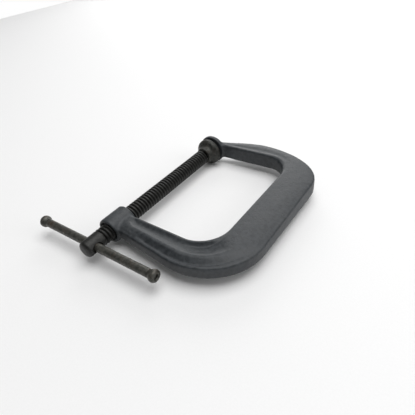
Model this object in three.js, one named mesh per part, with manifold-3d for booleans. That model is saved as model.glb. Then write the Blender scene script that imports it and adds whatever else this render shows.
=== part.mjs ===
// C clamp, forged frame with a 3/4 inch six-threads-per-inch screw. Millimetres, clamp lying flat.
// Origin: centre of the anvil face. +Y: from the handle to the anvil, along the screw.
// +X: from the screw to the spine. +Z: up, square to the plane of the C.
import * as THREE from 'three';
import { mergeVertices } from 'three/addons/utils/BufferGeometryUtils.js';
import Module from 'manifold-3d';

const wasm = await Module();
wasm.setup();

// ---- driving dimensions ----
const RUNNING_GAP = 0.35;       // between a piece and the neighbour it turns or slides in
const SCREW_D = 19.05;
const LEAD = 4.233;             // one turn of the screw, six turns to the inch
const BOSS_TO_ANVIL = 169;
const THROAT = 117.5;           // screw axis to the inner edge of the spine
const SPINE_WIDTH = 41.2;
const FRAME_THICKNESS = 20;
const JAW_GAP = 3.9;            // pad face to anvil face as the clamp lies
const SCREW_END_Y = -233.5;
const HANDLE_D = 9.525;

// ---- sizes that follow from them ----
const SCREW_R = SCREW_D / 2;
const HALF_THICKNESS = FRAME_THICKNESS / 2;
const THREAD_DEPTH = 0.52 * LEAD;
const THREAD_CREST = 0.3 * LEAD;
const THREAD_SEGMENTS = 16;

// y of each edge of an arm: at the screw axis, and where it would meet the edge of the spine
const NEAR_ARM = {
  inner: { start: -BOSS_TO_ANVIL - 2.6, end: -BOSS_TO_ANVIL - 4.2 },
  outer: { start: -BOSS_TO_ANVIL - 25, end: -BOSS_TO_ANVIL - 44 },
};
const FAR_ARM = {
  inner: { start: 1.5, end: 5.5 },
  outer: { start: 7.5, end: 28.2 },
};
// how far from the corner each bend begins, along the arm and along the spine
const NEAR_BEND = { inner: { arm: 33, spine: 34 }, outer: { arm: 76, spine: 72 } };
const FAR_BEND = { inner: { arm: 32, spine: 38 }, outer: { arm: 88, spine: 57 } };
const FAR_ARM_ARCH = { fromBend: 0.28, x: 24, rise: 0.42 };   // where the back of the far arm arches

const BOSS_R = 14.6;
const BOSS_LENGTH = 29.7;
const BOSS_ROUND = 2;
const BOSS_COUNTERBORE = { radius: 11.2, depth: 2.2 };
const ANVIL_R = 18.5;
const ANVIL_RIM = 5.5;
const ANVIL_CHAMFER = 0.8;
const ANVIL_BACK_Y = 13;

const PAD_R = 17.7;
const PAD_RIM = 4.5;
const PAD_LENGTH = 16.7;
const PAD_NECK_R = 11;
const PAD_BACK_Y = -JAW_GAP - PAD_LENGTH;

const BALL_R = 6.5;
const BALL_Y = -JAW_GAP - 9.6;
const BALL_NECK_R = 4.2;
const SOCKET_R = BALL_R + 0.4;
const RING_WIRE_R = 0.8;
const RING_R = 6.4;
const RING_Y = BALL_Y - 4.2;
const RING_GROOVE = { radius: RING_R + RING_WIRE_R + 0.5, halfWidth: RING_WIRE_R + 0.8 };

const THREAD_START_Y = PAD_BACK_Y - 1.6;
const THREAD_END_Y = -212;
const HEAD_R = 9.3;
const HEAD_DOME = 3.2;

const HANDLE_Y = -221.6;
const HANDLE_NEAR_END = 88.8;   // +X end, as the handle happens to stand in the screw head
const HANDLE_FAR_END = -82.2;
const CAP_LENGTH = 9.5;
const CAP_R = 6.8;
const TENON_R = 2.3;
const TENON_SHORT_OF_END = 1.2;

const steel = (color, roughness) => new THREE.MeshStandardMaterial({ color, roughness, metalness: 0.9 });
const framePaint = new THREE.MeshStandardMaterial({ color: 0x4d5356, roughness: 0.5, metalness: 0.1 });
const blackOxide = steel(0x262624, 0.42);
const wornSteel = steel(0x45443f, 0.45);
const padSteel = steel(0x474745, 0.5);
const springWire = steel(0x8b8b88, 0.35);

// ---- solids ----
// A closed three.js geometry as a solid for cutting and joining.
function solid(geometry) {
  const bare = geometry.index ? geometry.toNonIndexed() : geometry.clone();
  bare.deleteAttribute('normal');
  bare.deleteAttribute('uv');
  const merged = mergeVertices(bare, 1e-4);
  const corners = merged.index.array;
  const triangles = [];
  for (let i = 0; i < corners.length; i += 3) {
    const [a, b, c] = [corners[i], corners[i + 1], corners[i + 2]];
    if (a !== b && b !== c && c !== a) {
      triangles.push(a, b, c);
    }
  }
  return new wasm.Manifold(new wasm.Mesh({
    numProp: 3,
    vertProperties: new Float32Array(merged.attributes.position.array),
    triVerts: new Uint32Array(triangles),
  }));
}

function geometryOf(body) {
  const mesh = body.getMesh();
  const geometry = new THREE.BufferGeometry();
  geometry.setAttribute('position', new THREE.BufferAttribute(new Float32Array(mesh.vertProperties), 3));
  geometry.setIndex(Array.from(mesh.triVerts));
  return geometry;
}

// A body of revolution about the screw axis; the profile is [radius, y] pairs with y rising.
function turned(profile, segments) {
  return new THREE.LatheGeometry(profile.map(([r, y]) => new THREE.Vector2(r, y)), segments);
}

// The same about the handle's own axis, which lies along +X at the height of the cross hole.
function turnedOnHandle(profile, segments) {
  const geometry = turned(profile, segments);
  geometry.rotateZ(-Math.PI / 2);
  geometry.translate(0, HANDLE_Y, 0);
  return geometry;
}

// Points of a circular arc as [radius, y] pairs, angles measured from the radial direction.
function arc(centreR, centreY, radius, from, to, steps) {
  return Array.from({ length: steps + 1 }, (unused, i) => {
    const a = from + ((to - from) * i) / steps;
    return [centreR + radius * Math.cos(a), centreY + radius * Math.sin(a)];
  });
}

// A right-handed screw thread along +Y, longer than it is used, with a flat crest and a sharp root.
function threadBlank(fromY, toY, growth) {
  const crestR = SCREW_R + growth;
  const rootR = SCREW_R - THREAD_DEPTH + growth;
  const crestHalf = THREAD_CREST / 2 + growth * 0.6;
  const profile = [[rootR, -LEAD / 2], [crestR, -crestHalf], [crestR, crestHalf]];
  const startY = (Math.floor(fromY / LEAD) - 1) * LEAD;   // whole turns, so screw and boss are in phase
  const turns = Math.ceil((toY - startY) / LEAD) + 1;
  const steps = turns * THREAD_SEGMENTS;
  const positions = [];
  const indices = [];
  const at = (step, point) => step * profile.length + point;
  for (let s = 0; s <= steps; s += 1) {
    const angle = (2 * Math.PI * s) / THREAD_SEGMENTS;
    for (const [r, along] of profile) {
      // seen from the handle end the ridge climbs away clockwise, which is a right-hand thread
      const y = startY + (LEAD * s) / THREAD_SEGMENTS + along;
      positions.push(r * Math.sin(angle), y, r * Math.cos(angle));
    }
  }
  const quad = (a, b, c, d) => indices.push(a, b, c, a, c, d);
  for (let s = 0; s < steps; s += 1) {
    quad(at(s, 0), at(s + 1, 0), at(s + 1, 1), at(s, 1));
    quad(at(s, 1), at(s + 1, 1), at(s + 1, 2), at(s, 2));
    if (s + THREAD_SEGMENTS < steps) {
      quad(at(s, 2), at(s + 1, 2), at(s + 1 + THREAD_SEGMENTS, 0), at(s + THREAD_SEGMENTS, 0));
    }
  }
  const first = positions.length / 3;
  positions.push(0, startY - LEAD, 0);
  const last = first + 1;
  positions.push(0, startY + (turns + 1) * LEAD, 0);
  for (let s = 0; s < THREAD_SEGMENTS; s += 1) {
    indices.push(first, at(s + 1, 0), at(s, 0));
    const end = steps - THREAD_SEGMENTS + s;
    indices.push(last, at(end, 2), at(end + 1, 2));
  }
  indices.push(first, at(0, 2), at(THREAD_SEGMENTS, 0));
  indices.push(first, at(0, 1), at(0, 2), first, at(0, 0), at(0, 1));
  indices.push(last, at(steps, 0), at(steps - THREAD_SEGMENTS, 2));
  indices.push(last, at(steps, 1), at(steps, 0), last, at(steps, 2), at(steps, 1));
  const geometry = new THREE.BufferGeometry();
  geometry.setAttribute('position', new THREE.Float32BufferAttribute(positions, 3));
  geometry.setIndex(indices);
  return geometry;
}

// ---- frame ----
const lerp = (a, b, t) => a + (b - a) * t;
const smooth = (from, to, value) => {
  const t = Math.min(1, Math.max(0, (value - from) / (to - from)));
  return t * t * (3 - 2 * t);
};

// One edge of the C as seen from above: near arm, bend, spine, bend, far arm.
function edgePath(side, spineX) {
  const near = NEAR_ARM[side];
  const far = FAR_ARM[side];
  const nearSlope = (near.end - near.start) / spineX;
  const farSlope = side === 'inner' ? (far.end - far.start) / spineX : 0;
  const nearCorner = new THREE.Vector2(spineX, near.end);
  const farCorner = new THREE.Vector2(spineX, far.end);
  const nearRun = NEAR_BEND[side].arm;
  const nearFrom = new THREE.Vector2(spineX - nearRun, near.end - nearSlope * nearRun);
  const nearTo = new THREE.Vector2(spineX, near.end + NEAR_BEND[side].spine);
  const farFrom = new THREE.Vector2(spineX, far.end - FAR_BEND[side].spine);
  const farRun = FAR_BEND[side].arm;
  const farTo = new THREE.Vector2(spineX - farRun, far.end - farSlope * farRun);
  const tip = new THREE.Vector2(0, far.start);
  const quarter = 0.5523;       // handle length that makes a Bezier bend a quarter of an ellipse
  const bend = (from, corner, to) => new THREE.CubicBezierCurve(from, from.clone().lerp(corner, quarter),
    to.clone().lerp(corner, quarter), to);
  const archFrom = new THREE.Vector2(lerp(farTo.x, 0, FAR_ARM_ARCH.fromBend), farTo.y);
  const archTo = new THREE.Vector2(FAR_ARM_ARCH.x, lerp(far.start, far.end, FAR_ARM_ARCH.rise));
  return [
    new THREE.LineCurve(new THREE.Vector2(0, near.start), nearFrom),
    bend(nearFrom, nearCorner, nearTo),
    new THREE.LineCurve(nearTo, farFrom),
    bend(farFrom, farCorner, farTo),
    side === 'inner'
      ? new THREE.LineCurve(farTo, tip)
      : new THREE.CubicBezierCurve(farTo, archFrom, archTo, tip),
  ];
}

// Half the forged section across the C at one station, as [share of the width, height] pairs: inner
// rim, valley, ridge, gutter and the lower outer flange. width runs from the inner to the outer edge.
function sectionHalf(width, { round, valley, slope, gutter, flange }) {
  const corner = 0.29;          // a quarter round passes this share of its radius from each side
  const top = HALF_THICKNESS;
  const innerRound = Math.min(round, width * 0.2);
  const outerRound = Math.min(2, width * 0.1);
  const land = Math.min(0.8, width * 0.03);
  const gutterHeight = lerp(lerp(top, flange, 0.55), flange - GUTTER_DEPTH, gutter);
  const points = [
    [0, top - innerRound],
    [innerRound * corner, top - innerRound * corner],
    [innerRound, top],
    [innerRound + land, top],
    [innerRound + land + Math.min(slope, width * 0.14), top - valley],
    [width * 0.38, top - valley * 0.9],
    [width * 0.56, top - valley * 0.08],
    [width * 0.66, lerp(top, flange, 0.12)],
    [width * 0.84, gutterHeight],
    [width - outerRound - land, flange],
    [width - outerRound, flange],
    [width - outerRound * corner, flange - outerRound * corner],
    [width, flange - outerRound],
  ];
  return points.map(([across, height]) => [across / width, height]);
}

const INNER_ROUND = { usual: 2.5, farBend: 4.6 };
const VALLEY_DEPTH = { boss: 2.2, arm: 2.4, bend: 4.2, far: 0.8 };
const VALLEY_SLOPE = { arm: 3.8, bend: 3 };
const GUTTER_DEPTH = 1.4;
const FLANGE_HALF = { near: 6.6, spine: 7.2, far: 9.2 };
const STATIONS = [10, 18, 4, 14, 12];     // along each stretch of the C

// The section at a place along one stretch. The valley starts in a pocket beside the boss and the
// gutter further along; both deepen round the near bend and run out into the flat spine, and the
// far arm has only a trace of the valley.
function sectionAt(stretch, t, x) {
  const pocket = smooth(15, 23, x);
  const bendRise = smooth(0, 0.36, t);
  const bendDepth = lerp(VALLEY_DEPTH.arm, VALLEY_DEPTH.bend, bendRise);
  const { near, spine, far } = FLANGE_HALF;
  const plain = { round: INNER_ROUND.usual, valley: 0, slope: VALLEY_SLOPE.arm, gutter: 0, flange: far };
  const stretches = [
    {
      valley: lerp(VALLEY_DEPTH.boss, VALLEY_DEPTH.arm, t) * pocket,
      gutter: smooth(24, 58, x),
      flange: near,
    },
    {
      valley: bendDepth * (1 - smooth(0.42, 0.8, t)),
      slope: lerp(VALLEY_SLOPE.arm, VALLEY_SLOPE.bend, bendRise),
      gutter: 1 - smooth(0.45, 1, t),
      flange: lerp(near, spine, t),
    },
    { flange: lerp(spine, far, t) },
    {
      round: lerp(INNER_ROUND.usual, INNER_ROUND.farBend, Math.sin(Math.PI * t)),
      valley: VALLEY_DEPTH.far * smooth(0.2, 0.9, t),
    },
    { valley: VALLEY_DEPTH.far * pocket },
  ];
  return { ...plain, ...stretches[stretch] };
}

function frameLoft() {
  const inner = edgePath('inner', THROAT);
  const outer = edgePath('outer', THROAT + SPINE_WIDTH);
  const rings = [];
  STATIONS.forEach((count, stretch) => {
    const lastStretch = stretch === STATIONS.length - 1;
    for (let i = 0; i < count + (lastStretch ? 1 : 0); i += 1) {
      const t = i / count;
      const a = inner[stretch].getPoint(t);
      const b = outer[stretch].getPoint(t);
      const half = sectionHalf(a.distanceTo(b), sectionAt(stretch, t, (a.x + b.x) / 2));
      const place = (share, z) => [lerp(a.x, b.x, share), lerp(a.y, b.y, share), z];
      const above = half.map(([share, z]) => place(share, z));
      const below = half.map(([share, z]) => place(share, -z)).reverse();
      rings.push([...above, ...below]);
    }
  });
  const ringSize = rings[0].length;
  const positions = rings.flat(2);
  const indices = [];
  for (let i = 0; i + 1 < rings.length; i += 1) {
    for (let j = 0; j < ringSize; j += 1) {
      const next = (j + 1) % ringSize;
      const here = i * ringSize;
      const there = here + ringSize;
      indices.push(here + j, here + next, there + next, here + j, there + next, there + j);
    }
  }
  // end faces: the section halves mirror each other, so opposite points make strips
  const endFace = (start, flip) => {
    const half = ringSize / 2;
    for (let j = 0; j + 1 < half; j += 1) {
      const [a, b, c, d] = [start + j, start + j + 1, start + ringSize - 2 - j, start + ringSize - 1 - j];
      const faces = flip ? [a, b, c, a, c, d] : [a, c, b, a, d, c];
      indices.push(...faces);
    }
  };
  endFace(0, false);
  endFace((rings.length - 1) * ringSize, true);
  const geometry = new THREE.BufferGeometry();
  geometry.setAttribute('position', new THREE.Float32BufferAttribute(positions, 3));
  geometry.setIndex(indices);
  return geometry;
}

function bossBlank() {
  const outerY = -BOSS_TO_ANVIL - BOSS_LENGTH;
  const innerY = -BOSS_TO_ANVIL;
  return turned([
    [0, outerY],
    ...arc(BOSS_R - BOSS_ROUND, outerY + BOSS_ROUND, BOSS_ROUND, -Math.PI / 2, 0, 3),
    ...arc(BOSS_R - BOSS_ROUND / 2, innerY - BOSS_ROUND / 2, BOSS_ROUND / 2, 0, Math.PI / 2, 2),
    [0, innerY],
  ], 40);
}

function anvilBlank() {
  return turned([
    [0, 0],
    [ANVIL_R - ANVIL_CHAMFER, 0],
    [ANVIL_R, ANVIL_CHAMFER],
    [ANVIL_R, ANVIL_RIM],
    [ANVIL_R * 0.86, ANVIL_RIM + 2.2],
    [ANVIL_R * 0.6, ANVIL_BACK_Y - 1.5],
    [ANVIL_R * 0.45, ANVIL_BACK_Y],
    [0, ANVIL_BACK_Y],
  ], 40);
}

function frameGeometry() {
  const outerY = -BOSS_TO_ANVIL - BOSS_LENGTH;
  const counterbore = turned([
    [0, outerY - 1],
    [BOSS_COUNTERBORE.radius, outerY - 1],
    [BOSS_COUNTERBORE.radius, outerY + BOSS_COUNTERBORE.depth],
    [0, outerY + BOSS_COUNTERBORE.depth],
  ], 40);
  const bore = threadBlank(outerY - 2, -BOSS_TO_ANVIL + 2, RUNNING_GAP);
  const body = solid(frameLoft()).add(solid(bossBlank())).add(solid(anvilBlank()));
  return geometryOf(body.subtract(solid(bore)).subtract(solid(counterbore)));
}

// ---- screw ----
function spindleGeometry() {
  const neckStart = Math.asin(BALL_NECK_R / BALL_R);
  const ball = arc(0, BALL_Y, BALL_R, neckStart - Math.PI / 2, Math.PI / 2, 10);
  const coreR = SCREW_R - THREAD_DEPTH;
  const chamfer = THREAD_DEPTH;
  const envelope = turned([
    [0, THREAD_END_Y - 0.5],
    [SCREW_R, THREAD_END_Y - 0.5],
    [SCREW_R, THREAD_START_Y - chamfer],
    [coreR, THREAD_START_Y],
    [0, THREAD_START_Y],
  ], 48);
  const thread = solid(threadBlank(THREAD_END_Y - 2, THREAD_START_Y + 2, 0)).intersect(solid(envelope));
  const head = turned([
    [0, SCREW_END_Y],
    [HEAD_R * 0.55, SCREW_END_Y + HEAD_DOME * 0.12],
    [HEAD_R * 0.86, SCREW_END_Y + HEAD_DOME * 0.45],
    [HEAD_R, SCREW_END_Y + HEAD_DOME],
    [HEAD_R, THREAD_END_Y],
    [coreR, THREAD_END_Y + 1.2],
    [0, THREAD_END_Y + 1.2],
  ], 32);
  const nose = turned([
    [0, THREAD_START_Y - 1],
    [BALL_NECK_R, THREAD_START_Y - 1],
    ...ball.slice(0, -1),
    [0, BALL_Y + BALL_R],
  ], 24);
  const crossHole = turnedOnHandle([
    [0, -SCREW_D],
    [HANDLE_D / 2 + RUNNING_GAP, -SCREW_D],
    [HANDLE_D / 2 + RUNNING_GAP, SCREW_D],
    [0, SCREW_D],
  ], 24);
  return geometryOf(thread.add(solid(head)).add(solid(nose)).subtract(solid(crossHole)));
}

// ---- swivel pad and the wire ring that keeps it on the ball ----
function padGeometry() {
  const faceY = -JAW_GAP;
  const groove = RING_GROOVE;
  return turned([
    [0, BALL_Y + SOCKET_R],
    ...arc(0, BALL_Y, SOCKET_R, Math.PI / 2, 0, 8).slice(1),
    [SOCKET_R, RING_Y + groove.halfWidth],
    [groove.radius, RING_Y + groove.halfWidth],
    [groove.radius, RING_Y - groove.halfWidth],
    [SOCKET_R, RING_Y - groove.halfWidth],
    [SOCKET_R, PAD_BACK_Y],
    [PAD_NECK_R - 1, PAD_BACK_Y],
    [PAD_NECK_R, PAD_BACK_Y + 1],
    [PAD_NECK_R + 0.5, PAD_BACK_Y + 5],
    [PAD_NECK_R + 2.2, PAD_BACK_Y + 8.6],
    [PAD_R - 1, faceY - PAD_RIM],
    [PAD_R, faceY - PAD_RIM + 1],
    [PAD_R, faceY - 0.8],
    [PAD_R - 0.8, faceY],
    [0, faceY],
  ], 40);
}

function ringGeometry() {
  const opening = 0.5;          // radians left open so that the ring can be squeezed in
  const path = new THREE.CatmullRomCurve3(Array.from({ length: 13 }, (unused, i) => {
    const a = opening / 2 + ((2 * Math.PI - opening) * i) / 12;
    return new THREE.Vector3(RING_R * Math.sin(a), RING_Y, RING_R * Math.cos(a));
  }));
  const wire = new THREE.Shape().absarc(0, 0, RING_WIRE_R, 0, 2 * Math.PI);
  const swept = new THREE.ExtrudeGeometry(wire, { steps: 36, curveSegments: 5, extrudePath: path });
  return geometryOf(solid(swept));
}

// ---- handle ----
function barGeometry() {
  const r = HANDLE_D / 2;
  return turnedOnHandle([
    [0, HANDLE_FAR_END + TENON_SHORT_OF_END],
    [TENON_R, HANDLE_FAR_END + TENON_SHORT_OF_END],
    [TENON_R, HANDLE_FAR_END + CAP_LENGTH],
    [r, HANDLE_FAR_END + CAP_LENGTH],
    [r, HANDLE_NEAR_END - CAP_LENGTH],
    [TENON_R, HANDLE_NEAR_END - CAP_LENGTH],
    [TENON_R, HANDLE_NEAR_END - TENON_SHORT_OF_END],
    [0, HANDLE_NEAR_END - TENON_SHORT_OF_END],
  ], 24);
}

// Flares from the bar into a short round bulb with a dished end; side is +1 or -1 along X.
function capGeometry(endX, side) {
  const bore = TENON_R + RUNNING_GAP;
  const base = RUNNING_GAP;
  const profile = [
    [bore, base],
    [HANDLE_D / 2, base],
    [CAP_R * 0.86, CAP_LENGTH * 0.34],
    [CAP_R, CAP_LENGTH * 0.55],
    [CAP_R * 0.97, CAP_LENGTH * 0.76],
    [CAP_R * 0.8, CAP_LENGTH * 0.94],
    [CAP_R * 0.58, CAP_LENGTH],
    [bore, CAP_LENGTH - 0.5],
    [bore, base],
  ];
  const start = endX - side * CAP_LENGTH;
  const placed = profile.map(([r, along]) => [r, start + side * along]);
  return turnedOnHandle(side > 0 ? placed : placed.reverse(), 24);
}

// ---- assembly ----
const clamp = new THREE.Group();
function place(name, geometry, material) {
  const mesh = new THREE.Mesh(geometry, material);
  mesh.name = name;
  clamp.add(mesh);
}

place('frame', frameGeometry(), framePaint);
place('spindle', spindleGeometry(), blackOxide);
place('swivel_pad', padGeometry(), padSteel);
place('pad_retaining_ring', ringGeometry(), springWire);
place('handle_bar', barGeometry(), wornSteel);
place('handle_end_cap_near', capGeometry(HANDLE_NEAR_END, 1), wornSteel);
place('handle_end_cap_far', capGeometry(HANDLE_FAR_END, -1), wornSteel);

export default clamp;
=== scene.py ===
import math

import bmesh
import bpy
import numpy as np
from mathutils import Matrix, Vector


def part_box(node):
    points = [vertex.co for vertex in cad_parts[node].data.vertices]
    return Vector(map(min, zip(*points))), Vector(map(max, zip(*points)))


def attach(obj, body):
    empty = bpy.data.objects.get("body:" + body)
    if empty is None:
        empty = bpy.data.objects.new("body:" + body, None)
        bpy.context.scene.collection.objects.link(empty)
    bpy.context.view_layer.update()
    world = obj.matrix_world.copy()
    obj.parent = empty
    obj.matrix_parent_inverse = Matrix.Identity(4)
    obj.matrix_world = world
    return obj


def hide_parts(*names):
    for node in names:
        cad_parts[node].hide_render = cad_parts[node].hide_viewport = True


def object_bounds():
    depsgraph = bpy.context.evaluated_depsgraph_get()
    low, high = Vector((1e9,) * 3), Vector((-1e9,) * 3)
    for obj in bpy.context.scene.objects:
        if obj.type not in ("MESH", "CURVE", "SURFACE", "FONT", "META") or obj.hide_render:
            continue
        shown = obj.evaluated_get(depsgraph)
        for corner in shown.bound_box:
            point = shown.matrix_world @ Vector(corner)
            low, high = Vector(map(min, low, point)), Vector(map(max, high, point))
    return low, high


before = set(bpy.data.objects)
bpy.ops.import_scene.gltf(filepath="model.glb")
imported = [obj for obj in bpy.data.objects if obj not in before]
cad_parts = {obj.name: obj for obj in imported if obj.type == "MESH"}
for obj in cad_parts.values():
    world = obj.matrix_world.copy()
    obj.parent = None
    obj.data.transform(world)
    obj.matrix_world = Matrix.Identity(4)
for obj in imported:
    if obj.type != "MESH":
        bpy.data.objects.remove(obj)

CAD_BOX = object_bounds()
MM = 0.001


def level_centre(low, high):
    """The middle of a box, seen from above, at the height of the screw's axis."""
    return Vector(((low[0] + high[0]) / 2, (low[1] + high[1]) / 2, 0))


# ---- places and sizes, read from the frame's nodes at rest ----
FRAME_LOW, FRAME_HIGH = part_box("frame")
SPINDLE_LOW, SPINDLE_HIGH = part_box("spindle")
PAD_LOW, PAD_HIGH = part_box("swivel_pad")
RING_LOW, RING_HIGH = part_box("pad_retaining_ring")
BAR_LOW, BAR_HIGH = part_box("handle_bar")
NEAR_CAP_LOW, NEAR_CAP_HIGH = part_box("handle_end_cap_near")
FAR_CAP_LOW, FAR_CAP_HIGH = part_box("handle_end_cap_far")
CLAMP_CENTRE = level_centre(*CAD_BOX)
FRAME_CENTRE = level_centre(FRAME_LOW, FRAME_HIGH)

SCREW_R = SPINDLE_HIGH[2]
BAR_R = BAR_HIGH[2]
PAD_R = PAD_HIGH[2]
ANVIL_R = FRAME_HIGH[2]
HANDLE_Y = (BAR_LOW[1] + BAR_HIGH[1]) / 2
RING_Y = (RING_LOW[1] + RING_HIGH[1]) / 2

LEAD = 4.233 * MM                       # one turn of the screw, six turns to the inch
THREAD_DEPTH = 0.52 * LEAD
CORE_R = SCREW_R - THREAD_DEPTH
BALL_R = 6.5 * MM                       # the ball on the screw's end, inside the pad
TENON_R = 2.3 * MM                      # the bar's turned-down ends, inside the caps
BOSS_INNER_Y = -169 * MM
BOSS_OUTER_Y = BOSS_INNER_Y - 29.7 * MM
BOSS_R = 14.6 * MM


# ---- mesh helpers ----
def mesh_object(name, vertices, faces):
    """A smooth-shaded mesh object in the row frame."""
    mesh = bpy.data.meshes.new(name)
    mesh.from_pydata([tuple(v) for v in vertices], [], [tuple(f) for f in faces])
    mesh.validate()
    obj = bpy.data.objects.new(name, mesh)
    bpy.context.scene.collection.objects.link(obj)
    tidy(obj)
    return obj


def tidy(obj):
    """Welds doubles, drops faces with no area, points every face outwards and shades smooth."""
    b = bmesh.new()
    b.from_mesh(obj.data)
    bmesh.ops.remove_doubles(b, verts=b.verts, dist=0.002 * MM)
    bmesh.ops.dissolve_degenerate(b, edges=b.edges, dist=0.001 * MM)
    bmesh.ops.recalc_face_normals(b, faces=b.faces)
    b.to_mesh(obj.data)
    b.free()
    shade_smooth(obj)


def shade_smooth(obj):
    for polygon in obj.data.polygons:
        polygon.use_smooth = True


def apply_modifiers(obj):
    """The object keeps the shape that its modifiers give it."""
    depsgraph = bpy.context.evaluated_depsgraph_get()
    shaped = bpy.data.meshes.new_from_object(obj.evaluated_get(depsgraph))
    obj.modifiers.clear()
    obj.data = shaped


def cut(obj, cutter):
    """Takes the cutter's volume out of obj and removes the cutter."""
    modifier = obj.modifiers.new("cut", "BOOLEAN")
    modifier.operation = "DIFFERENCE"
    modifier.solver = "EXACT"
    modifier.object = cutter
    apply_modifiers(obj)
    bpy.data.objects.remove(cutter)


def sharp_above(obj, degrees):
    """Edges sharper than this stay crisp under smooth shading."""
    obj.data.set_sharp_from_angle(angle=math.radians(degrees))


def turned(name, profile, axis="Y", centre=(0, 0, 0), segments=96):
    """A closed body of revolution; profile is [radius, place along the axis] pairs."""
    vertices = []
    faces = []
    for radius, along in profile:
        for i in range(segments):
            a = 2 * math.pi * i / segments
            across = (radius * math.sin(a), radius * math.cos(a))
            if axis == "Y":
                vertices.append((centre[0] + across[0], centre[1] + along, centre[2] + across[1]))
            else:
                vertices.append((centre[0] + along, centre[1] + across[0], centre[2] + across[1]))
    for ring in range(len(profile) - 1):
        for i in range(segments):
            j = (i + 1) % segments
            faces.append((ring * segments + i, ring * segments + j,
                          (ring + 1) * segments + j, (ring + 1) * segments + i))
    return mesh_object(name, vertices, faces)


def rounded(profile, radius, steps=4):
    """The profile with each inner corner turned into an arc of about this radius."""
    points = [Vector((r, y)) for r, y in profile]
    out = [points[0]]
    for before, corner, after in zip(points, points[1:], points[2:]):
        room = min(radius, (before - corner).length * 0.45, (after - corner).length * 0.45)
        start = corner + (before - corner).normalized() * room
        end = corner + (after - corner).normalized() * room
        for i in range(steps + 1):
            t = i / steps
            out.append((1 - t) ** 2 * start + 2 * t * (1 - t) * corner + t * t * end)
    out.append(points[-1])
    return [(max(0.0, p[0]), p[1]) for p in out]


def arc(centre_along, radius, start, end, steps):
    """Points of an arc about the axis, as [radius, place along], angles from square to the axis."""
    angles = np.linspace(math.radians(start), math.radians(end), steps + 1)
    return [(max(0.0, radius * math.cos(a)), centre_along + radius * math.sin(a)) for a in angles]


# ---- frame: one forging, soft at its corners and where the arms meet the boss and the anvil ----
def forged_frame():
    """The frame with soft corners, flowing joints and a clean bore."""
    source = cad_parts["frame"]
    obj = bpy.data.objects.new("forged_frame", source.data.copy())
    obj.matrix_world = source.matrix_world.copy()
    bpy.context.scene.collection.objects.link(obj)
    fine, coarse = 0.75 * MM, 1.2 * MM
    remesh = obj.modifiers.new("remesh", "REMESH")
    remesh.mode = "VOXEL"
    remesh.voxel_size = fine
    apply_modifiers(obj)
    bake_place(obj)
    soften(obj)
    cut(obj, bore_cutter())
    shade_smooth(obj)
    sharp_above(obj, 50)
    return obj


def bake_place(obj):
    """Moves the object's place into its vertices, as the frame's own nodes have it."""
    obj.data.transform(obj.matrix_world)
    obj.matrix_world.identity()


def soften(obj):
    """Rounds the whole skin a little, and much more beside the screw boss and behind the anvil."""
    boss_joint = 5 * MM
    anvil_joint_x = ANVIL_R + 14 * MM
    blends = obj.vertex_groups.new(name="blends")
    for v in obj.data.vertices:
        x, y = v.co.x, v.co.y
        beside_boss = abs(x - BOSS_R) < boss_joint and y < BOSS_INNER_Y - 1.5 * MM
        beside_anvil = y > 1.2 * MM and ANVIL_R - 5 * MM < x < anvil_joint_x
        behind_anvil = y > 5 * MM and x < anvil_joint_x
        if beside_boss or beside_anvil or behind_anvil:
            blends.add([v.index], 1.0, "REPLACE")
    fillets = obj.modifiers.new("fillets", "SMOOTH")
    fillets.vertex_group = "blends"
    fillets.factor = 0.5
    fillets.iterations = 45
    skin = obj.modifiers.new("skin", "SMOOTH")
    skin.factor = 0.5
    skin.iterations = 5
    apply_modifiers(obj)
    obj.vertex_groups.clear()


def bore_cutter():
    """The screw's bore, with a shallow recess outside and a wide mouth inside."""
    past = 3 * MM
    bore_r = SCREW_R + 0.45 * MM
    mouth_r = bore_r + 1.6 * MM
    recess_r = 11.4 * MM
    recess_y = BOSS_OUTER_Y + 2.4 * MM
    return turned("bore_cutter", [
        (0, BOSS_OUTER_Y - past),
        (recess_r + past * 0.5, BOSS_OUTER_Y - past),
        (recess_r, BOSS_OUTER_Y + 0.4 * MM),
        (recess_r - 0.5 * MM, recess_y),
        (bore_r, recess_y + 0.5 * MM),
        (bore_r, BOSS_INNER_Y - 1.0 * MM),
        (mouth_r, BOSS_INNER_Y + 0.6 * MM),
        (mouth_r, BOSS_INNER_Y + past),
        (0, BOSS_INNER_Y + past),
    ])


# ---- spindle ----
def thread_profile():
    """One pitch of the thread as [radius, place along the pitch], root to root, corners rounded."""
    depth = THREAD_DEPTH
    root = CORE_R
    return [
        (root, -0.50 * LEAD),
        (root + 0.06 * depth, -0.43 * LEAD),
        (root + 0.30 * depth, -0.34 * LEAD),
        (root + 0.72 * depth, -0.245 * LEAD),
        (root + 0.93 * depth, -0.19 * LEAD),
        (root + 1.00 * depth, -0.12 * LEAD),
        (root + 1.00 * depth, 0.12 * LEAD),
        (root + 0.93 * depth, 0.19 * LEAD),
        (root + 0.72 * depth, 0.245 * LEAD),
        (root + 0.30 * depth, 0.34 * LEAD),
        (root + 0.06 * depth, 0.43 * LEAD),
    ]


def smooth_step(low, high, value):
    """Rises from 0 at low to 1 at high, level at both ends."""
    t = min(1.0, max(0.0, (value - low) / (high - low)))
    return t * t * (3 - 2 * t)


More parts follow.
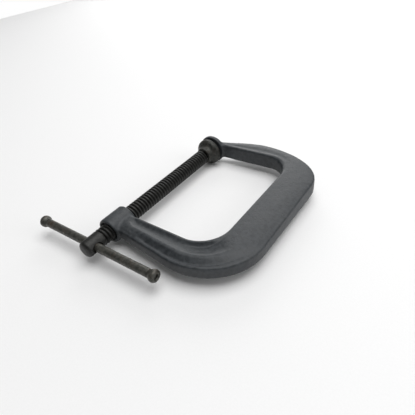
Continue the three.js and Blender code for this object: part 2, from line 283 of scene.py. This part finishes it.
def threaded_length(low, high, head_r, nose_r, segments):
    """The screw between two heights: its thread runs out at the head and is chamfered at the pad."""

    def radius_at(r, y):
        if y <= low:
            return head_r
        if y >= high:
            return nose_r
        run_out = 1 - smooth_step(low, low + 0.8 * LEAD, y)
        r = r + (head_r - r) * run_out
        return min(r, nose_r + (high - y))

    profile = thread_profile()
    count = len(profile)
    first_turn = math.floor(low / LEAD) - 1
    turns = math.ceil(high / LEAD) + 2 - first_turn
    steps = turns * segments
    vertices = []
    faces = []
    for s in range(steps + 1):
        a = 2 * math.pi * s / segments
        for r, along in profile:
            y = (first_turn + s / segments) * LEAD + along
            clamped = min(high, max(low, y))
            shaped = radius_at(r, clamped)
            vertices.append((shaped * math.sin(a), clamped, shaped * math.cos(a)))
    for s in range(steps):
        for p in range(count):
            if p + 1 < count:
                faces.append((s * count + p, (s + 1) * count + p,
                              (s + 1) * count + p + 1, s * count + p + 1))
            elif s + segments < steps:
                faces.append((s * count + p, (s + 1) * count + p,
                              (s + 1 + segments) * count, (s + segments) * count))
    return vertices, faces


def add_rings(vertices, faces, rings, segments):
    """Adds a body of revolution about the screw's axis to a mesh that is being built."""
    start = len(vertices)
    for r, y in rings:
        for i in range(segments):
            a = 2 * math.pi * i / segments
            vertices.append((r * math.sin(a), y, r * math.cos(a)))
    for ring in range(len(rings) - 1):
        for i in range(segments):
            j = (i + 1) % segments
            faces.append((start + ring * segments + i, start + ring * segments + j,
                          start + (ring + 1) * segments + j, start + (ring + 1) * segments + i))


def cross_hole_cutter():
    """The hole that the handle slides in, flared at both mouths."""
    hole_r = BAR_R + 0.35 * MM
    flare = 1.1 * MM
    past = 4 * MM
    return turned("hole_cutter", [
        (0, -SCREW_R - past),
        (hole_r + flare + past, -SCREW_R - past),
        (hole_r, -SCREW_R + 2 * flare),
        (hole_r, SCREW_R - 2 * flare),
        (hole_r + flare + past, SCREW_R + past),
        (0, SCREW_R + past),
    ], axis="X", centre=(0, HANDLE_Y, 0), segments=48)


def spindle():
    """The screw: a plain head with the cross hole, the thread, and the ball inside the pad."""
    segments = 48
    head_r = SCREW_R - 0.2 * MM
    nose_r = CORE_R - 0.4 * MM
    head_end = SPINDLE_LOW[1]
    low = head_end + 21.5 * MM           # where the plain head ends
    high = PAD_LOW[1] - 1.6 * MM         # where the thread ends, just outside the pad
    vertices, faces = threaded_length(low, high, head_r, nose_r, segments)
    head = rounded([
        (0, head_end),
        (head_r * 0.52, head_end + 0.3 * MM),
        (head_r * 0.86, head_end + 1.5 * MM),
        (head_r, head_end + 3.4 * MM),
        (head_r, low - 0.4 * MM),
        (head_r, low),
    ], 1.2 * MM)
    ball_y = SPINDLE_HIGH[1] - BALL_R
    neck_r = 4.2 * MM
    neck_angle = -math.degrees(math.acos(neck_r / BALL_R))
    nose = [(nose_r, high), (neck_r, high + 0.5 * MM)] + arc(ball_y, BALL_R, neck_angle, 90, 14)
    add_rings(vertices, faces, head, segments)
    add_rings(vertices, faces, nose, segments)
    obj = mesh_object("threaded_spindle", vertices, faces)
    cut(obj, cross_hole_cutter())
    shade_smooth(obj)
    sharp_above(obj, 42)
    return obj


# ---- swivel pad and its retaining ring ----
def swivel_pad():
    """A bell with a flat round face, a ball socket and the groove of the retaining ring."""
    face = PAD_HIGH[1]
    back = PAD_LOW[1]
    socket_r = 6.9 * MM
    ball_y = face - 9.6 * MM
    groove_r = RING_HIGH[0] + 0.5 * MM
    groove_half = 1.6 * MM
    socket = arc(ball_y, socket_r, 90, 0, 12)
    outside = rounded([
        (socket_r, back + 1.0 * MM),
        (socket_r + 0.9 * MM, back),
        (9.9 * MM, back),
        (10.9 * MM, back + 1.2 * MM),
        (11.1 * MM, back + 4.4 * MM),
        (12.0 * MM, back + 6.8 * MM),
        (14.0 * MM, back + 8.6 * MM),
        (16.2 * MM, back + 10.2 * MM),
        (PAD_R - 0.4 * MM, face - 4.6 * MM),
        (PAD_R, face - 3.0 * MM),
        (PAD_R, face - 1.0 * MM),
        (PAD_R - 1.0 * MM, face),
        (0, face),
    ], 1.3 * MM, 5)
    profile = socket + [
        (socket_r, RING_Y + groove_half),
        (groove_r, RING_Y + groove_half),
        (groove_r, RING_Y - groove_half),
        (socket_r, RING_Y - groove_half),
    ] + outside
    obj = turned("bell_pad", profile, segments=112)
    sharp_above(obj, 46)
    return obj


def retaining_ring():
    """An open ring of round wire that keeps the ball in the pad."""
    wire_r = (RING_HIGH[1] - RING_LOW[1]) / 2
    ring_r = RING_HIGH[0] - wire_r
    opening = 0.5                       # radians between the wire's ends
    around, sides = 72, 16
    vertices = []
    faces = []
    for i in range(around + 1):
        a = opening / 2 + (2 * math.pi - opening) * i / around
        for j in range(sides):
            b = 2 * math.pi * j / sides
            r = ring_r + wire_r * math.cos(b)
            vertices.append((r * math.sin(a), RING_Y + wire_r * math.sin(b), r * math.cos(a)))
    for i in range(around):
        for j in range(sides):
            k = (j + 1) % sides
            faces.append((i * sides + j, i * sides + k, (i + 1) * sides + k, (i + 1) * sides + j))
    faces.append(range(sides))
    faces.append(range(around * sides, (around + 1) * sides))
    obj = mesh_object("split_ring", vertices, faces)
    sharp_above(obj, 50)
    return obj


# ---- handle ----
def handle_bar():
    """A round bar with turned-down ends that the caps are fixed on."""
    gap = 0.35 * MM                     # between a shoulder of the bar and its cap
    near_shoulder = NEAR_CAP_LOW[0] - gap
    far_shoulder = FAR_CAP_HIGH[0] + gap
    body = rounded([
        (TENON_R, far_shoulder),
        (BAR_R - 0.1 * MM, far_shoulder),
        (BAR_R, far_shoulder + 1.5 * MM),
        (BAR_R, near_shoulder - 1.5 * MM),
        (BAR_R - 0.1 * MM, near_shoulder),
        (TENON_R, near_shoulder),
    ], 0.4 * MM)
    far_tip = BAR_LOW[0] + 1.1 * MM
    near_tip = BAR_HIGH[0] - 1.1 * MM
    far_end = [(0, far_tip), (TENON_R * 0.75, far_tip), (TENON_R, far_tip + 0.4 * MM)]
    near_end = [(TENON_R, near_tip - 0.4 * MM), (TENON_R * 0.75, near_tip), (0, near_tip)]
    slice_length = 2.5 * MM
    along = []
    for (r0, x0), (r1, x1) in zip(body, body[1:]):
        pieces = max(1, int((x1 - x0) / slice_length))
        along += [(r0 + (r1 - r0) * i / pieces, x0 + (x1 - x0) * i / pieces) for i in range(pieces)]
    profile = far_end + along + [body[-1]] + near_end
    obj = turned("cross_bar", profile, axis="X", centre=(0, HANDLE_Y, 0), segments=48)
    sharp_above(obj, 40)
    return obj


def end_cap(name, low, high, side):
    """Flares from the bar into a short round bulb with a dished end."""
    start = low[0] if side > 0 else high[0]
    length = high[0] - low[0]
    bulb_r = high[2]
    bore = TENON_R + 0.25 * MM
    outline = rounded([
        (bore, 0.0),
        (BAR_R, 0.0),
        (BAR_R + 0.25 * MM, length * 0.12),
        (bulb_r * 0.93, length * 0.34),
        (bulb_r, length * 0.50),
        (bulb_r, length * 0.74),
        (bulb_r * 0.88, length * 0.92),
        (bulb_r * 0.62, length),
        (bore + 0.9 * MM, length * 0.97),
        (bore, length * 0.86),
        (bore, 0.0),
    ], 1.6 * MM, 5)
    profile = [(r, start + side * along) for r, along in outline]
    obj = turned(name, profile, axis="X", centre=(0, HANDLE_Y, 0), segments=56)
    sharp_above(obj, 55)
    return obj


# ---- surface relief ----
def roughen(obj, depth, scale, seed):
    """Pushes the surface in by up to depth, in soft lumps of about scale, so that it never grows."""
    rng = np.random.default_rng(seed)
    shift = rng.uniform(-10, 10, (3, 3))
    mesh = obj.data
    count = len(mesh.vertices)
    place = np.empty(count * 3)
    mesh.vertices.foreach_get("co", place)
    place = place.reshape(-1, 3)
    normals = np.array([v.normal[:] for v in mesh.vertices])
    amount = np.zeros(count)
    for octave in range(3):
        p = place / scale * 2 ** octave + shift[octave]
        wave = (np.sin(p[:, 0] * 2.1 + 1.3 * np.sin(p[:, 1] * 1.7))
                * np.sin(p[:, 1] * 2.3 + 1.1 * np.sin(p[:, 2] * 1.9))
                * np.cos(p[:, 2] * 1.8 + 1.2 * np.sin(p[:, 0] * 2.2)))
        amount += wave / 2 ** octave
    amount = (amount - amount.min()) / (amount.max() - amount.min())
    place -= normals * (amount * depth)[:, None]
    mesh.vertices.foreach_set("co", place.ravel())
    mesh.update()


# ---- materials ----
PAINT_SHADES = ((0.013, 0.0165, 0.020), (0.035, 0.040, 0.045))
DUSTY_SHADES = ((0.020, 0.0235, 0.0265), (0.041, 0.045, 0.049))
PIT_COLOUR = (0.015, 0.018, 0.021)
OXIDE_SHADES = ((0.006, 0.006, 0.0056), (0.022, 0.022, 0.020))
WORN_SHADES = ((0.030, 0.031, 0.027), (0.086, 0.084, 0.073))
PAD_SHADES = ((0.008, 0.009, 0.008), (0.046, 0.047, 0.041))
WIRE_SHADES = ((0.16, 0.16, 0.155), (0.30, 0.30, 0.29))
BRIGHT_STEEL = (0.30, 0.29, 0.26)
RUST_COLOUR = (0.095, 0.052, 0.030)


def material(name):
    """A new node material with its Principled shader and a helper that adds nodes."""
    mat = bpy.data.materials.new(name)
    mat.use_nodes = True
    tree = mat.node_tree
    shader = tree.nodes["Principled BSDF"]

    def node(kind, **settings):
        n = tree.nodes.new(kind)
        for key, value in settings.items():
            if key in n.inputs:
                n.inputs[key].default_value = value
            else:
                setattr(n, key, value)
        return n

    return mat, tree, shader, node


def noise(tree, node, where, scale, detail, roughness=0.55):
    """Soft noise; a higher scale makes smaller grains."""
    n = node("ShaderNodeTexNoise", Scale=scale, Detail=detail, Roughness=roughness)
    tree.links.new(where, n.inputs["Vector"])
    return n.outputs["Fac"]


def ramp(tree, node, value, stops):
    """A colour ramp; stops are (position, colour) or (position, grey)."""
    n = node("ShaderNodeValToRGB")
    elements = n.color_ramp.elements
    while len(elements) < len(stops):
        elements.new(0.5)
    for element, (position, colour) in zip(elements, stops):
        element.position = position
        element.color = (*colour, 1) if isinstance(colour, tuple) else (colour, colour, colour, 1)
    tree.links.new(value, n.inputs["Fac"])
    return n.outputs["Color"]


def mix_colours(tree, node, share, first, second):
    """The first colour where share is 0, the second where it is 1."""
    n = node("ShaderNodeMix", data_type="RGBA")
    tree.links.new(share, n.inputs["Factor"])
    for source, socket in ((first, "A"), (second, "B")):
        target = next(s for s in n.inputs if s.name == socket and s.type == "RGBA")
        if isinstance(source, tuple):
            target.default_value = (*source, 1)
        else:
            tree.links.new(source, target)
    return next(s for s in n.outputs if s.type == "RGBA")


def multiply(tree, node, a, b):
    """The product of two values, each a plain number or a node's output."""
    n = node("ShaderNodeMath", operation="MULTIPLY")
    for i, value in enumerate((a, b)):
        if isinstance(value, (int, float)):
            n.inputs[i].default_value = value
        else:
            tree.links.new(value, n.inputs[i])
    return n.outputs["Value"]


def add(tree, node, a, b):
    """The sum of two nodes' outputs."""
    n = node("ShaderNodeMath", operation="ADD")
    tree.links.new(a, n.inputs[0])
    tree.links.new(b, n.inputs[1])
    return n.outputs["Value"]


def bump(tree, node, shader, height, distance, strength):
    """Fine relief from a height between 0 and 1; distance is its depth in metres."""
    n = node("ShaderNodeBump", Distance=distance, Strength=strength)
    tree.links.new(height, n.inputs["Height"])
    tree.links.new(n.outputs["Normal"], shader.inputs["Normal"])


def frame_paint():
    """Blue-grey textured paint over a forging: fine orange peel, a few pits, a slightly dusty tint."""
    mat, tree, shader, node = material("frame_paint")
    where = node("ShaderNodeTexCoord").outputs["Object"]
    broad = noise(tree, node, where, scale=38, detail=3)
    mottle = noise(tree, node, where, scale=240, detail=4)
    peel = noise(tree, node, where, scale=900, detail=3, roughness=0.6)
    pits = noise(tree, node, where, scale=520, detail=2, roughness=0.5)
    clean = ramp(tree, node, mottle, list(zip((0.36, 0.64), PAINT_SHADES)))
    dusty = ramp(tree, node, mottle, list(zip((0.36, 0.64), DUSTY_SHADES)))
    dust_share = ramp(tree, node, broad, [(0.42, 0.0), (0.66, 1.0)])
    colour = mix_colours(tree, node, dust_share, clean, dusty)
    pit_share = ramp(tree, node, pits, [(0.30, 1.0), (0.36, 0.0)])
    colour = mix_colours(tree, node, pit_share, colour, PIT_COLOUR)
    tree.links.new(colour, shader.inputs["Base Color"])
    rough = ramp(tree, node, mottle, [(0.3, 0.42), (0.7, 0.58)])
    tree.links.new(rough, shader.inputs["Roughness"])
    relief = add(tree, node, multiply(tree, node, mottle, 0.7), multiply(tree, node, peel, 0.35))
    pit_depth = ramp(tree, node, pits, [(0.28, 0.0), (0.40, 1.0)])
    relief = add(tree, node, relief, multiply(tree, node, pit_depth, 0.5))
    bump(tree, node, shader, relief, distance=0.00035, strength=0.55)
    return mat


def steel(name, shades, scale, rough, metallic, rust=0.0, chips=0.0):
    """Dark or bare steel: cloudy colour, fine grain, optional thin rust and bright chips."""
    mat, tree, shader, node = material(name)
    where = node("ShaderNodeTexCoord").outputs["Object"]
    clouds = noise(tree, node, where, scale, detail=5, roughness=0.62)
    grain = noise(tree, node, where, scale * 6, detail=3, roughness=0.6)
    colour = ramp(tree, node, clouds, list(zip((0.34, 0.66), shades)))
    if chips:
        specks = noise(tree, node, where, scale * 2.6, detail=2, roughness=0.5)
        chip_share = ramp(tree, node, specks, [(0.70, 0.0), (0.74, chips)])
        colour = mix_colours(tree, node, chip_share, colour, BRIGHT_STEEL)
    if rust:
        patches = noise(tree, node, where, scale * 0.33, detail=4, roughness=0.6)
        rust_share = multiply(tree, node, ramp(tree, node, patches, [(0.52, 0.0), (0.66, 1.0)]), rust)
        colour = mix_colours(tree, node, rust_share, colour, RUST_COLOUR)
    tree.links.new(colour, shader.inputs["Base Color"])
    rough_map = ramp(tree, node, grain, [(0.3, rough - 0.08), (0.7, rough + 0.1)])
    tree.links.new(rough_map, shader.inputs["Roughness"])
    relief = add(tree, node, clouds, multiply(tree, node, grain, 0.5))
    bump(tree, node, shader, relief, distance=0.0002, strength=0.5)
    shader.inputs["Metallic"].default_value = metallic
    return mat


def floor_white():
    """A pale matt studio sweep with the faintest tooth."""
    mat, tree, shader, node = material("studio_floor")
    where = node("ShaderNodeTexCoord").outputs["Object"]
    tooth = noise(tree, node, where, scale=600, detail=2)
    colour = ramp(tree, node, tooth, [(0.3, 0.86), (0.7, 0.88)])
    tree.links.new(colour, shader.inputs["Base Color"])
    shader.inputs["Roughness"].default_value = 0.8
    return mat


def dress(obj, mat, slot_name, body, *nodes):
    """Gives a piece its material, hangs it on the body that carries it and hides the CAD nodes it
    takes the place of.
    """
    obj.data.materials.clear()
    obj.data.materials.append(mat)
    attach(obj, body)
    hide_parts(*nodes)


# ---- build ----
PAINT = frame_paint()
BLACK = steel("black_screw", OXIDE_SHADES, scale=340, rough=0.45, metallic=0.35, chips=0.25)
WORN = steel("worn_steel", WORN_SHADES, scale=260, rough=0.42, metallic=0.45, rust=0.3, chips=0.6)
PAD = steel("pad_steel", PAD_SHADES, scale=330, rough=0.48, metallic=0.4, rust=0.1, chips=0.3)
WIRE = steel("spring_wire", WIRE_SHADES, scale=500, rough=0.32, metallic=0.9)

FORGING = forged_frame()
roughen(FORGING, depth=0.22 * MM, scale=6 * MM, seed=11)
dress(FORGING, PAINT, "frame_paint", "frame", "frame")

SCREW = spindle()
dress(SCREW, BLACK, "black_screw", "spindle", "spindle")

SHOE = swivel_pad()
roughen(SHOE, depth=0.15 * MM, scale=4 * MM, seed=12)
dress(SHOE, PAD, "pad_steel", "pad", "swivel_pad")

dress(retaining_ring(), WIRE, "spring_wire", "screw_carriage", "pad_retaining_ring")

BAR = handle_bar()
roughen(BAR, depth=0.12 * MM, scale=7 * MM, seed=13)
dress(BAR, WORN, "worn_steel", "handle", "handle_bar")

NEAR_CAP = end_cap("bulb_near", NEAR_CAP_LOW, NEAR_CAP_HIGH, 1)
roughen(NEAR_CAP, depth=0.12 * MM, scale=5 * MM, seed=14)
dress(NEAR_CAP, WORN, "worn_steel", "handle", "handle_end_cap_near")

FAR_CAP = end_cap("bulb_far", FAR_CAP_LOW, FAR_CAP_HIGH, -1)
roughen(FAR_CAP, depth=0.12 * MM, scale=5 * MM, seed=15)
dress(FAR_CAP, WORN, "worn_steel", "handle", "handle_end_cap_far")


# ---- floor, light and camera ----
def studio_floor():
    """A white sweep under the frame."""
    half = 1.5
    z = FRAME_LOW[2]
    corners = [(-half, -half, z), (half, -half, z), (half, half, z), (-half, half, z)]
    floor = mesh_object("studio_floor", corners, [(0, 1, 2, 3)])
    floor.data.materials.append(floor_white())


def softbox(name, offset, size, power):
    """A round soft light that looks at the middle of the frame from this far away in metres."""
    light = bpy.data.lights.new(name, "AREA")
    light.shape = "DISK"
    light.size = size
    light.energy = power
    obj = bpy.data.objects.new(name, light)
    obj.location = FRAME_CENTRE + Vector(offset)
    obj.rotation_euler = (-Vector(offset)).to_track_quat("-Z", "Y").to_euler()
    bpy.context.scene.collection.objects.link(obj)


def surroundings():
    """White to the camera, and only a faint light on the clamp."""
    ambient = 0.22
    world = bpy.data.worlds.new("studio")
    world.use_nodes = True
    tree = world.node_tree
    seen = tree.nodes.new("ShaderNodeLightPath").outputs["Is Camera Ray"]
    strength = tree.nodes.new("ShaderNodeMapRange")
    strength.inputs["To Min"].default_value = ambient
    strength.inputs["To Max"].default_value = 1.0
    tree.links.new(seen, strength.inputs["Value"])
    background = tree.nodes["Background"]
    background.inputs["Color"].default_value = (1.0, 1.0, 1.0, 1)
    tree.links.new(strength.outputs["Result"], background.inputs["Strength"])
    bpy.context.scene.world = world
    bpy.context.scene.view_settings.view_transform = "Standard"


def camera():
    """Stands above the handle's end, on the spine's side, and looks past the clamp's centre."""
    azimuth = math.radians(38.4)
    elevation = math.radians(37.5)
    roll = math.radians(-6.2)
    distance = 427 * MM
    past_centre = Vector((32.05, -9.75, 0)) * MM
    target = CLAMP_CENTRE + past_centre
    toward = Vector((math.sin(azimuth) * math.cos(elevation),
                     -math.cos(azimuth) * math.cos(elevation),
                     math.sin(elevation)))
    data = bpy.data.cameras.new("camera")
    data.sensor_width = 36
    data.lens = 32.9
    data.clip_start = 0.01
    obj = bpy.data.objects.new("camera", data)
    obj.location = target + toward * distance
    level = (-toward).to_track_quat("-Z", "Y").to_matrix()
    obj.rotation_euler = (level @ Matrix.Rotation(roll, 3, "Z")).to_euler()
    bpy.context.scene.collection.objects.link(obj)
    bpy.context.scene.camera = obj


studio_floor()
softbox("back_softbox", (-1.0, 1.75, 0.78), size=1.6, power=17)
softbox("overhead_softbox", (0.35, 0.4, 2.3), size=2.6, power=52)
softbox("right_softbox", (1.9, 0.4, 0.9), size=1.4, power=10)
surroundings()
camera()
